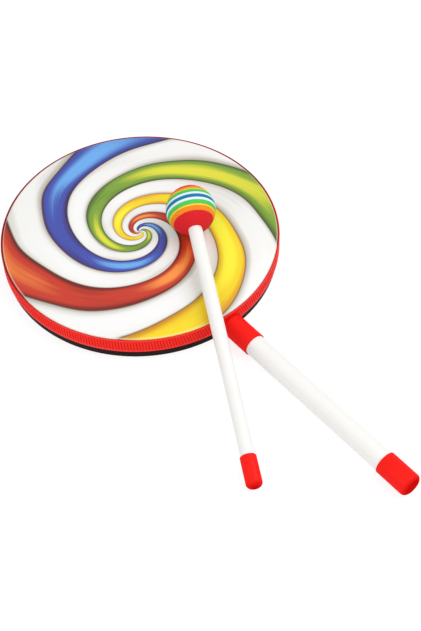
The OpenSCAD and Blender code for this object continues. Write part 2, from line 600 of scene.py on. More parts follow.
def bake(piece: Object) -> None:
    """Turns an object's modifiers into a plain mesh, without the needle faces that cuts leave.

    Args:
        piece: The object.
    """
    seen = piece.evaluated_get(bpy.context.evaluated_depsgraph_get())
    mesh = bpy.data.meshes.new_from_object(seen)
    piece.modifiers.clear()
    shape = bmesh.new()
    shape.from_mesh(mesh)
    bmesh.ops.dissolve_degenerate(shape, dist=NEEDLE, edges=shape.edges)
    idle = [v for v in shape.verts if len(v.link_edges) == 2 and v.calc_edge_angle() < STRAIGHT]
    bmesh.ops.dissolve_verts(shape, verts=idle)
    shape.to_mesh(mesh)
    shape.free()
    first_shape = piece.data
    mesh.name = first_shape.name
    piece.data = mesh
    bpy.data.meshes.remove(first_shape)
    shade(mesh)


def carve(piece: Object, cutters: Sequence[Object]) -> None:
    """Cuts shapes out of a piece.

    Args:
        piece: The piece.
        cutters: The closed shapes, which are removed afterwards.
    """
    for cutter in cutters:
        modifier = piece.modifiers.new(cutter.name, "BOOLEAN")
        modifier.operation = "DIFFERENCE"
        modifier.solver = "MANIFOLD"
        modifier.object = cutter
    bake(piece)
    for cutter in cutters:
        bpy.data.objects.remove(cutter)


def settle(piece: Object, body: Body, slot: str, *nodes: str) -> None:
    """Makes a piece ride on its body and stand for its solids, and reports it.

    Args:
        piece: The finished piece.
        body: The body that it rides on.
        slot: The record's material slot, not used.
        nodes: The solids that it stands for.
    """
    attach(piece, body.value)
    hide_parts(*nodes)
    LOG.info("%s: %d faces, rides on %s", piece.name, len(piece.data.polygons), body.value)


@dataclass(frozen=True)
class Finish:
    """A surface finish. Its gloss is the same all over, and paint wires what changes over the surface."""

    gloss = 0.5

    name: str
    axis: Axis

    def material(self) -> Material:
        """Builds the material.

        Returns:
            The material, with one Principled shader.
        """
        material = bpy.data.materials.new(self.name)
        sheet = PaintSheet.blank(material)
        sockets = {"Specular IOR Level": self.gloss, **self.paint(sheet)}
        shader = sheet.add("ShaderNodeBsdfPrincipled", {}, sockets)
        sheet.add("ShaderNodeOutputMaterial", {}, {"Surface": shader}, None)
        return material

    def paint(self, sheet: PaintSheet) -> dict[str, Feed]:
        """What feeds each socket of the shader, wired in the material's sheet."""
        raise NotImplementedError


@dataclass(frozen=True)
class BlackBoard(Finish):
    """The hoop's pressed board, stained black, with a fine grain round the drum and rubbed edges."""

    gloss = 0.06

    stain: Colour = (0.0150, 0.0060, 0.0050)
    pale_tone: Colour = (0.052, 0.030, 0.025)
    grain_size: float = 0.9 * MM
    blotch_size: float = 14 * MM
    relief: float = 0.06 * MM

    def paint(self, sheet: PaintSheet) -> dict[str, Feed]:
        """Grain lies in flat streaks, and rubbed edges are paler and smoother.

        Args:
            sheet: The material's node tree.

        Returns:
            What feeds each socket of the shader.
        """
        grain = sheet.noise(sheet.place(self.axis, (1.0, 1.0, 4.0)), self.grain_size, 4.0)
        blotch = sheet.noise(sheet.place(self.axis), self.blotch_size)
        wear = sheet.attribute("edge") * sheet.ease(blotch, 0.35, 0.70)
        pale = (wear * 0.55 + sheet.ease(grain, 0.45, 0.80) * 0.22).least(1.0)
        return {
            "Base Color": sheet.mix(pale, self.stain, self.pale_tone),
            "Roughness": 0.62 - wear * 0.14 - grain * 0.12,
            "Normal": sheet.bump(grain, self.relief, 0.6),
        }


class Candy(Enum):
    """The colours of the printed sugar strands, each as its shadow, its body and its light."""

    WHITE = ((0.66, 0.63, 0.57), (0.87, 0.865, 0.845), (0.91, 0.907, 0.898))
    RED = ((0.19, 0.014, 0.010), (0.56, 0.042, 0.020), (0.97, 0.30, 0.060))
    YELLOW = ((0.76, 0.32, 0.018), (0.89, 0.67, 0.018), (0.96, 0.87, 0.040))
    GREEN = ((0.065, 0.140, 0.026), (0.20, 0.35, 0.040), (0.74, 0.72, 0.048))
    BLUE = ((0.055, 0.026, 0.150), (0.055, 0.080, 0.400), (0.15, 0.40, 0.83))


STRANDS = (
    Candy.WHITE, Candy.RED, Candy.WHITE, Candy.YELLOW,
    Candy.WHITE, Candy.GREEN, Candy.WHITE, Candy.BLUE,
)


@dataclass(frozen=True)
class SwirlPrint(Finish):
    """A pinwheel of pulled-sugar strands that wind out from the middle, printed on the drumhead."""

    gloss = 0.30

    slope: float = 0.36
    eye: float = 7 * MM
    seam: Colour = (0.055, 0.035, 0.020)
    shadow: Colour = (0.60, 0.56, 0.50)
    # A pale cream painted highlight along the film's rounded edge.
    bend_highlight: Colour = (0.93, 0.80, 0.66)
    wander_size: float = 55 * MM
    streaks_across: float = 9.0
    streaks_along: float = 2.2
    haze_size: float = 9 * MM
    peel_size: float = 1.6 * MM
    relief: float = 0.03 * MM

    def paint(self, sheet: PaintSheet) -> dict[str, Feed]:
        """Each strand is shaded round, with a light that comes and goes along it and fine streaks, and a
        painted highlight runs along the film's rounded edge.

        Args:
            sheet: The material's node tree.

        Returns:
            What feeds each socket of the shader.
        """
        spot = sheet.place(self.axis)
        x, y, _ = sheet.split(spot)
        wander = sheet.noise(spot, self.wander_size, 0.0) - 0.5
        wind = sheet.maths("LOGARITHM", (x * x + y * y) ** 0.5 + self.eye, math.e)
        turn = sheet.maths("ARCTAN2", y, x) / math.tau
        strand = (turn + wind / (math.tau * self.slope)) * len(STRANDS) + wander * 0.5
        number = strand.floor()
        across = strand.fract()
        share = sheet.maths("FLOORED_MODULO", number + 0.5, float(len(STRANDS))) / len(STRANDS)

        streak_spot = sheet.vector(strand * self.streaks_across, wind * self.streaks_along)
        streak = sheet.noise(streak_spot, 1.0, 3.0)
        ripple = (wind * 7.0 + number * 2.4 + wander * 3.0).cosine() * 0.5 + 0.5
        crown = across * (1 - across) * 4
        tone = crown * (0.30 + ripple * 0.70) + (streak - 0.5) * 0.34

        dark, body, light = (self._palette(sheet, share, i) for i in range(3))
        shaded = sheet.mix(sheet.ease(tone, 0.02, 0.36), dark, body)
        lit = sheet.mix(sheet.ease(tone, 0.44, 0.98), shaded, light)
        lee = sheet.mix((1 - sheet.ease(across, 0.0, 0.26)) * 0.75, lit, self.shadow, "MULTIPLY")
        edge = across.least(1 - across)
        printed = sheet.mix((1 - sheet.ease(edge, 0.008, 0.034)) * 0.62, lee, self.seam)
        # Paints a cream highlight along the film's rounded edge.
        bend_highlight_share = sheet.ease(sheet.attribute("edge"), 0.80, 1.0) * 0.45
        return {
            "Base Color": sheet.mix(bend_highlight_share, printed, self.bend_highlight),
            "Roughness": 0.36 + (sheet.noise(spot, self.haze_size) - 0.5) * 0.16,
            "Normal": sheet.bump(sheet.noise(spot, self.peel_size), self.relief, 0.35),
        }

    @staticmethod
    def _palette(sheet: PaintSheet, share: Value, tone: int) -> Value:
        """One tone of the strand's colour."""
        stops = [(i / len(STRANDS), candy.value[tone]) for i, candy in enumerate(STRANDS)]
        return sheet.add("ShaderNodeValToRGB", {"stops": stops}, {"Fac": share}, "Color")


@dataclass(frozen=True)
class FilmBack(Finish):
    """The unprinted back of the drumhead, milky and a little scuffed."""

    milk: Colour = (0.78, 0.775, 0.75)
    cloud: Colour = (0.66, 0.65, 0.62)
    cloud_size: float = 32 * MM
    scuff_size: float = 1.2 * MM
    relief: float = 0.02 * MM

    def paint(self, sheet: PaintSheet) -> dict[str, Feed]:
        """Clouds in the milky white, and fine scuffs that dull it.

        Args:
            sheet: The material's node tree.

        Returns:
            What feeds each socket of the shader.
        """
        cloud = sheet.noise(sheet.place(self.axis), self.cloud_size, 4.0)
        scuff = sheet.noise(sheet.place(self.axis, (1.0, 0.12, 1.0)), self.scuff_size, 3.0)
        return {
            "Base Color": sheet.mix(sheet.ease(cloud, 0.30, 0.75) * 0.6, self.milk, self.cloud),
            "Roughness": 0.42 + sheet.ease(scuff, 0.50, 0.80) * 0.25,
            "Normal": sheet.bump(scuff, self.relief, 0.4),
        }


@dataclass(frozen=True)
class RibbedEdging(Finish):
    """The red edging band: soft plastic, deeper red in its grooves as painted shade and bright on its crests
    as a painted highlight, with a painted shadow along its top and a painted pinkish highlight at its foot.
    """

    gloss = 0.03

    # The crest colour is a painted highlight on the ribs, and the groove colour is painted shade in their
    # grooves.
    crest: Colour = (1.0, 0.043, 0.032)
    groove: Colour = (0.72, 0.002, 0.002)
    # A painted shadow along the band's top, where it meets the film.
    lip: Colour = (0.26, 0.012, 0.014)
    # A pale pink that paints a highlight along the band's foot.
    pale_tone: Colour = (0.95, 0.14, 0.145)
    blotch_size: float = 7 * MM
    grain_size: float = 0.5 * MM
    relief: float = 0.03 * MM

    def paint(self, sheet: PaintSheet) -> dict[str, Feed]:
        """Grooves get painted shade and are duller than the crests, whose brighter red is a painted
        highlight and which carry faint blotches.

        Args:
            sheet: The material's node tree.

        Returns:
            What feeds each socket of the shader.
        """
        spot = sheet.place(self.axis)
        blotch = sheet.noise(spot, self.blotch_size)
        grain = sheet.noise(spot, self.grain_size, 3.0)
        depth = sheet.attribute("groove")
        # Painted shade: the red deepens towards each groove, so the crests read as lit.
        share = (depth**0.7 * 0.95 + (blotch - 0.5) * 0.25).most(0.0)
        ribbed = sheet.mix(share, self.crest, self.groove)
        # Mixes in the painted pinkish highlight along the band's foot.
        highlighted = sheet.mix(sheet.attribute("rub") * 0.5, ribbed, self.pale_tone)
        return {
            # The band's top gets a painted shadow.
            "Base Color": sheet.mix(sheet.attribute("lip") * 0.95, highlighted, self.lip),
            "Roughness": 0.40 + depth * 0.18 + (grain - 0.5) * 0.16,
            "Normal": sheet.bump(grain, self.relief, 0.35),
        }


@dataclass(frozen=True)
class TubePlastic(Finish):
    """Extruded white plastic, with faint streaks along the tube."""

    white: Colour = (0.88, 0.875, 0.85)
    cream: Colour = (0.83, 0.818, 0.78)
    streak_size: float = 0.8 * MM
    patch_size: float = 18 * MM
    relief: float = 0.02 * MM

    def paint(self, sheet: PaintSheet) -> dict[str, Feed]:
        """Streaks run along the tube, and handling dulls it in patches.

        Args:
            sheet: The material's node tree.

        Returns:
            What feeds each socket of the shader.
        """
        streak = sheet.noise(sheet.place(self.axis, (1.0, 1.0, 0.015)), self.streak_size, 3.0)
        patch = sheet.noise(sheet.place(self.axis), self.patch_size)
        share = (sheet.ease(streak, 0.40, 0.80) * 0.5 + sheet.ease(patch, 0.5, 0.8) * 0.3).least(1.0)
        return {
            "Base Color": sheet.mix(share, self.white, self.cream),
            "Roughness": 0.27 + patch * 0.14 + (streak - 0.5) * 0.10,
            "Normal": sheet.bump(streak, self.relief, 0.5),
        }


@dataclass(frozen=True)
class DippedVinyl(Finish):
    """Soft red vinyl, dipped: smooth with a slow ripple, deeper red where it is thick, deeper red and duller
    on its rounded edges, and painted shade where it meets the band and on closed ends.

    Only the skin of the dip shines, as a coat.
    """

    gloss = 0.0

    red: Colour = (0.94, 0.016, 0.012)
    deep_and_shade: Colour = (0.60, 0.003, 0.003)
    ripple_size: float = 5 * MM
    peel_size: float = 0.9 * MM
    relief: float = 0.16 * MM

    def paint(self, sheet: PaintSheet) -> dict[str, Feed]:
        """A slow ripple from the dip, slightly deeper red in its hollows and along the lips, with painted
        shade where the collar meets the band and on closed ends.

        Args:
            sheet: The material's node tree.

        Returns:
            What feeds each socket of the shader.
        """
        ripple = sheet.noise(sheet.place(self.axis, (1.0, 1.0, 0.35)), self.ripple_size)
        peel = sheet.noise(sheet.place(self.axis), self.peel_size)
        # The edge is full where the collar meets the band and over closed ends; there the deeper red is
        # painted shade.
        rub = sheet.attribute("edge")
        share = (sheet.ease(ripple, 0.42, 0.75) * 0.18 + rub * 0.85).least(1.0)
        return {
            "Base Color": sheet.mix(share, self.red, self.deep_and_shade),
            "Roughness": 0.30 + (peel - 0.5) * 0.12 + rub * 0.08,
            "Coat Weight": (1 - rub) * 0.12,
            "Coat Roughness": 0.25,
            "Normal": sheet.bump(ripple + peel * 0.25, self.relief, 0.5),
        }


@dataclass(frozen=True)
class CellFoam(Finish):
    """Closed-cell foam that was turned to a ball, which opens its outer cells."""

    gloss = 0.25

    colour: Colour
    shade: Colour
    cell_size: float = 0.75 * MM
    blotch_size: float = 3.5 * MM
    relief: float = 0.10 * MM

    def paint(self, sheet: PaintSheet) -> dict[str, Feed]:
        """Opened cells are pits with painted shade, in a skin whose colour is a little uneven and darker
        along the sheets' edges.

        Args:
            sheet: The material's node tree.

        Returns:
            What feeds each socket of the shader.
        """
        spot = sheet.place(self.axis)
        pit = 1 - sheet.ease(sheet.cells(spot, self.cell_size), 0.12, 0.52)
        blotch = sheet.noise(spot, self.blotch_size, 3.0)
        uneven = sheet.ease(blotch, 0.48, 0.80) * 0.30 + sheet.attribute("edge") * 0.25
        # The pits' share of the darker colour is painted shade in the opened cells.
        share = (pit * 0.36 + uneven).least(1.0)
        return {
            "Base Color": sheet.mix(share, self.colour, self.shade),
            "Roughness": 0.86 - (blotch - 0.5) * 0.12,
            "Normal": sheet.bump(1 - pit, self.relief, 0.55),
        }


@dataclass(frozen=True)
class TurnedWood(Finish):
    """Plain pale wood, with its grain along the plug."""

    early: Colour = (0.60, 0.42, 0.25)
    late: Colour = (0.38, 0.22, 0.10)
    grain_size: float = 1.1 * MM
    relief: float = 0.08 * MM

    def paint(self, sheet: PaintSheet) -> dict[str, Feed]:
        """Grain lines run along the plug.

        Args:
            sheet: The material's node tree.

        Returns:
            What feeds each socket of the shader.
        """
        grain = sheet.noise(sheet.place(self.axis, (1.0, 1.0, 0.06)), self.grain_size, 4.0)
        return {
            "Base Color": sheet.mix(sheet.ease(grain, 0.38, 0.66), self.early, self.late),
            "Roughness": 0.70 - grain * 0.15,
            "Normal": sheet.bump(grain, self.relief, 0.5),
        }


@dataclass(frozen=True)
class PlatedSteel(Finish):
    """Zinc-plated steel, a little stained."""

    zinc: Colour = (0.62, 0.62, 0.63)
    stain: Colour = (0.40, 0.40, 0.39)
    stain_size: float = 1.4 * MM
    relief: float = 0.02 * MM

    def paint(self, sheet: PaintSheet) -> dict[str, Feed]:
        """Stains dull the plating.

        Args:
            sheet: The material's node tree.

        Returns:
            What feeds each socket of the shader.
        """
        stain = sheet.noise(sheet.place(self.axis), self.stain_size, 3.0)
        return {
            "Base Color": sheet.mix(sheet.ease(stain, 0.45, 0.75), self.zinc, self.stain),
            "Metallic": 1.0,
            "Roughness": 0.30 + stain * 0.20,
            "Normal": sheet.bump(stain, self.relief, 0.4),
        }


@dataclass
class Drum:
    """The hoop, its printed head and the ribbed band round the rim.

    A turn is an angle round the drum from the handle. Painted light on the band lies about a turn: the
    painted shadow along its top is left off its outer face about one, and the painted pinkish highlight at
    its foot is strongest about two.
    Their span is the cosines of the angles from a turn at which they begin and at which they are full.
    """

    axis: Axis
    facets: int = 384
    hoop_r: float = 100 * MM
    hoop_wall: float = 6 * MM
    hoop_h: float = 20.1 * MM
    bearing_r: float = 2 * MM
    bevel: float = 2.5 * MM
    foot_chamfer: float = 0.8 * MM
    arris_r: float = 0.3 * MM
    film_t: float = 0.3 * MM
    skirt_tuck: float = 1 * MM
    band_foot: float = 7.85 * MM
    band_drop: float = 1.2 * MM
    band_t: float = 1.1 * MM
    band_arc_step: float = 22.5
    rib_count: int = 304
    steps_per_rib: int = 8
    rib_depth: float = 0.45 * MM
    rib_row: float = 0.75 * MM
    rib_slant: float = math.radians(3.4)
    handle_slant: float = math.radians(20)
    slant_from: float = 7 * MM
    slant_to: float = 74 * MM
    top_hem: float = 0.6 * MM
    foot_hem: float = 0.4 * MM
    hem_fade: float = 0.5 * MM
    # Where the painted shadow along the band's top begins and where it is full.
    lip_h: float = 0.45 * MM
    dark_lip_h: float = 0.1125 * MM
    # Where the painted shadow along the band's top is left off its outer face.
    wiped_turn: float = math.radians(-10)
    unshaded_span: tuple[float, float] = (-0.1, 0.5)
    # Height, turns and spans of the painted pinkish highlight at the band's foot.
    highlight_h: float = 2.8 * MM
    front_highlight: float = math.radians(-95)
    side_highlight: float = math.radians(35)
    highlight_span: tuple[float, float] = (0.55, 0.85)
    rub_least: float = 0.25
    tube_room: float = 0.2 * MM
    arch_depth: float = 20 * MM
    arch_facets: int = 96

    @property
    def hoop_ri(self) -> float:
        """Inside of the hoop."""
        return self.hoop_r - self.hoop_wall

    @property
    def film_ri(self) -> float:
        """Inside of the film's skirt."""
        return self.hoop_r + GLUE

    @property
    def film_r(self) -> float:
        """Outside of the film's skirt."""
        return self.film_ri + self.film_t

    @property
    def head_under(self) -> float:
        """Underside of the head."""
        return self.hoop_h + GLUE

    @property
    def head_z(self) -> float:
        """Top of the head."""
        return self.head_under + self.film_t

    @property
    def band_top(self) -> float:
        """Top of the band."""
        return self.head_z - self.band_drop

    @property
    def band_ri(self) -> float:
        """Inside of the band."""
        return self.film_r + GLUE

    @property
    def band_r(self) -> float:
        """Outside of the band, on a rib's crest."""
        return self.band_ri + self.band_t

    def build(self, handle: Handle) -> None:
        """Makes the drum's pieces.

        Args:
            handle: The handle that is screwed to the rim.
        """
        hoop = self.build_hoop()
        carve(hoop, handle.screw_cutters())
        settle(hoop, Body.DRUM, "hoop_black", "drum_hoop")
        head = self.build_head()
        carve(head, handle.screw_cutters())
        settle(head, Body.DRUM, "head_film", "drumhead")
        settle(self.build_band(handle), Body.DRUM, "band_red", "rim_band")

    def build_hoop(self) -> Object:
        """Turns the hoop, with its bearing edge, inner bevel and eased foot.

        Returns:
            The hoop, without its screw holes.
        """
        inner = self.hoop_ri
        ease = self.arris_r
        corners = [
            Corner(self.foot_chamfer, inner, ease),
            Corner(0.0, inner + self.foot_chamfer, ease),
            Corner(0.0, self.hoop_r - self.foot_chamfer, ease),
            Corner(self.foot_chamfer, self.hoop_r, ease),
            Corner(self.hoop_h, self.hoop_r, self.bearing_r),
            Corner(self.hoop_h, inner + self.bevel, ease),
            Corner(self.hoop_h - self.bevel, inner, ease),
        ]
        finish = BlackBoard("black_board", self.axis).material()
        return TurnedShape(self.axis, corners, self.facets).build("hoop", [finish])

    def build_head(self) -> Object:
        """Turns the film: the flat head, the curve over the bearing edge and the skirt.

        Returns:
            The head, without its screw holes.
        """
        skirt_foot = self.band_foot + self.skirt_tuck
        bend_r = self.bearing_r + GLUE
        corners = [
            Corner(self.head_z, 0.0),
            Corner(self.head_z, self.film_r, bend_r + self.film_t),
            Corner(skirt_foot, self.film_r),
            Corner(skirt_foot, self.film_ri, back=True),
            Corner(self.head_under, self.film_ri, bend_r, back=True),
            Corner(self.head_under, 0.0, back=True),
        ]
        finishes = [
            SwirlPrint("swirl_print", self.axis).material(),
            FilmBack("film_back", self.axis).material(),
        ]
        return TurnedShape(self.axis, corners, self.facets).build("printed_head", finishes)

    def build_band(self, handle: Handle) -> Object:
        """Sweeps the band's section round the rim, presses in its ribs and cuts the arch for the tube.

        Args:
            handle: The handle whose tube passes through the band.

        Returns:
            The band.
        """
        rib_top = self.band_top - self.top_hem
        rib_foot = self.band_foot + self.foot_hem
        rows = math.ceil((rib_top - rib_foot) / self.rib_row)
        corners = [
            Corner(self.band_foot, self.band_ri),
            Corner(self.band_top, self.band_ri),
            Corner(self.band_top, self.band_r, self.arris_r),
            *(Corner(rib_top + (rib_foot - rib_top) * i / rows, self.band_r) for i in range(rows + 1)),
            Corner(self.band_foot, self.band_r, self.arris_r),
        ]
        rounded = TurnedShape(self.axis, corners, degrees_per_step=self.band_arc_step).section()
        points = [(point.radius - self.band_r, -point.along, 0.0) for point in rounded]
        loop = [(i, (i + 1) % len(points)) for i in range(len(points))]
        mesh = bpy.data.meshes.new("ribbed_band")
        mesh.from_pydata(points, loop, [])
        band = add_piece("ribbed_band", mesh)
        self._band_tree(handle).run(band)
        return band

    def _band_tree(self, handle: Handle) -> ShapeSheet:
        """The recipe that sweeps, ribs and cuts the band.

        Args:
            handle: The handle whose tube passes through the band.

        Returns:
            The recipe, with its inputs given.
        """
        tree = ShapeSheet("ribbed_band")
        rim_r = tree.entry("Rim Radius", self.band_r)
        ribs = tree.entry("Rib Count", self.rib_count, Entry.COUNT)
        steps = tree.entry("Steps Per Rib", self.steps_per_rib, Entry.COUNT)
        depth = tree.entry("Rib Depth", self.rib_depth)
        wall = tree.entry("Wall", self.band_t)
        foot = tree.entry("Ribs From", self.band_foot + self.foot_hem)
        top = tree.entry("Ribs To", self.band_top - self.top_hem)
        fade = tree.entry("Rib Fade", self.hem_fade)
        lip_foot = tree.entry("Lip From", self.band_top - self.lip_h)
        lip_top = tree.entry("Lip To", self.band_top - self.dark_lip_h)
        highlight_foot = tree.entry("Highlight From", self.band_foot)
        highlight_top = tree.entry("Highlight To", self.band_foot + self.highlight_h)
        wiped_turn = tree.entry("Unshaded Turn", self.wiped_turn)
        front_highlight = tree.entry("Front Highlight Turn", self.front_highlight)
        side_highlight = tree.entry("Side Highlight Turn", self.side_highlight)
        rub_least = tree.entry("Highlight Least", self.rub_least)
        slope = tree.entry("Rib Slope", math.tan(self.rib_slant))
        handle_slope = tree.entry("Rib Slope At Handle", math.tan(self.handle_slant))
        slant_from = tree.entry("Slant From", self.slant_from)
        slant_to = tree.entry("Slant To", self.slant_to)
        arch_r = tree.entry("Arch Radius", handle.tube_r + self.tube_room)
        arch_z = tree.entry("Arch Height", handle.axis.origin.z)
        arch_depth = tree.entry("Arch Depth", self.arch_depth)
        arch_facets = tree.entry("Arch Facets", self.arch_facets, Entry.COUNT)
        middle = tree.entry("Drum Middle", self.axis.origin.x)
        finish = tree.entry("Finish", RibbedEdging("ribbed_edging", self.axis).material(), Entry.FINISH)

        circle = {"Resolution": ribs * steps, "Radius": rim_r}
        rail = tree.add("GeometryNodeCurvePrimitiveCircle", {"mode": "RADIUS"}, circle, "Curve")
        upright = tree.add("GeometryNodeSetCurveNormal", {"mode": "Z_UP"}, {"Curve": rail})
        section = tree.add("GeometryNodeMeshToCurve", {}, {"Mesh": tree.shape})
        swept = tree.add("GeometryNodeCurveToMesh", {}, {"Curve": upright, "Profile Curve": section})

        x, y, z = tree.split(tree.add("GeometryNodeInputPosition"))
        radius = (x * x + y * y) ** 0.5
        angle = tree.maths("ARCTAN2", y, x)
        drawn = handle_slope + (slope - handle_slope) * tree.ease(abs(angle) * rim_r, slant_from, slant_to)
        crest = abs(((angle + (z - (foot + top) / 2) * drawn / rim_r) * ribs / 2).cosine())
        window = tree.ease(z, foot, foot + fade) * (1 - tree.ease(z, top - fade, top))
        outer = radius > rim_r - wall / 2
        groove = (1 - crest) * window * outer
        # The painted shadow along the band's top is left off its outer face about one turn.
        unshaded = tree.ease((angle - wiped_turn).cosine(), *self.unshaded_span)
        # The painted pinkish highlight at the band's foot is strongest about two turns.
        highlight_near = tree.ease((angle - front_highlight).cosine().most((angle - side_highlight).cosine()), *self.highlight_span)
        # Marks for the finish: the ribs' depth, painted as shade; the painted shadow along the top; and the
        # painted highlight at the foot.
        shares = {
            "groove": groove,
            "lip": tree.ease(z, lip_foot, lip_top) * (1 - outer * unshaded),
            "rub": (1 - tree.ease(z, highlight_foot, highlight_top)) * (rub_least + (1 - rub_least) * highlight_near),
        }
        noted = swept
        for name, share in shares.items():
            noted = tree.add(
                "GeometryNodeStoreNamedAttribute",
                {"data_type": "FLOAT", "domain": "POINT"},
                {"Geometry": noted, "Name": name, "Value": share},
            )
        scale = groove * depth / radius * -1
        shift = tree.vector(x * scale, y * scale)
        ribbed = tree.add("GeometryNodeSetPosition", {}, {"Geometry": noted, "Offset": shift})

        cylinder = {"Vertices": arch_facets, "Radius": arch_r, "Depth": arch_depth}
        bar = tree.add("GeometryNodeMeshCylinder", {}, cylinder, "Mesh")
        lay = {"Translation": tree.vector(rim_r, 0.0, arch_z), "Rotation": (0.0, math.pi / 2, 0.0)}
        laid = tree.add("GeometryNodeTransform", {}, {"Geometry": bar, **lay})
        arched = tree.add(
            "GeometryNodeMeshBoolean",
            {"operation": "DIFFERENCE", "solver": "MANIFOLD"},
            {"Mesh 1": ribbed, "Mesh 2": laid},
            "Mesh",
        )
        sockets = {"Geometry": arched, "Translation": tree.vector(middle)}
        tree.close(tree.add("GeometryNodeTransform", {}, sockets), finish)
        return tree


@dataclass(frozen=True)
class Cap:
    """A dipped cap that is pushed over a tube's end."""

    wall: float
    length: float
    floor_t: float
    dome: float
    lip_share: float = 0.45

    def build(
        self, name: str, axis: Axis, tube_r: float, tube_end: float, vinyl: Material, facets: int
    ) -> Object:
        """Turns the cap, with a round lip and a domed end.

        Args:
            name: The piece's name.
            axis: The tube's axis.
            tube_r: The tube's outer radius.
            tube_end: Where the tube ends.
            vinyl: The cap's finish.
            facets: How many flats it has round.

        Returns:
            The cap.
        """
        bore = tube_r + GLUE
        outside = bore + self.wall
        inside = tube_end + GLUE
        end = inside + self.floor_t
        start = end - self.length
        lip = self.wall * self.lip_share
        corners = [
            Corner(inside, 0.0),
            Corner(inside, bore),
            Corner(start, bore, lip),
            Corner(start, outside, lip),
            Corner(end, outside, self.dome),
            # A full edge over the closed end, which the vinyl paints as shade.
            Corner(end, 0.0, edge=1.0),
        ]
        return TurnedShape(axis, corners, facets).build(name, [vinyl])


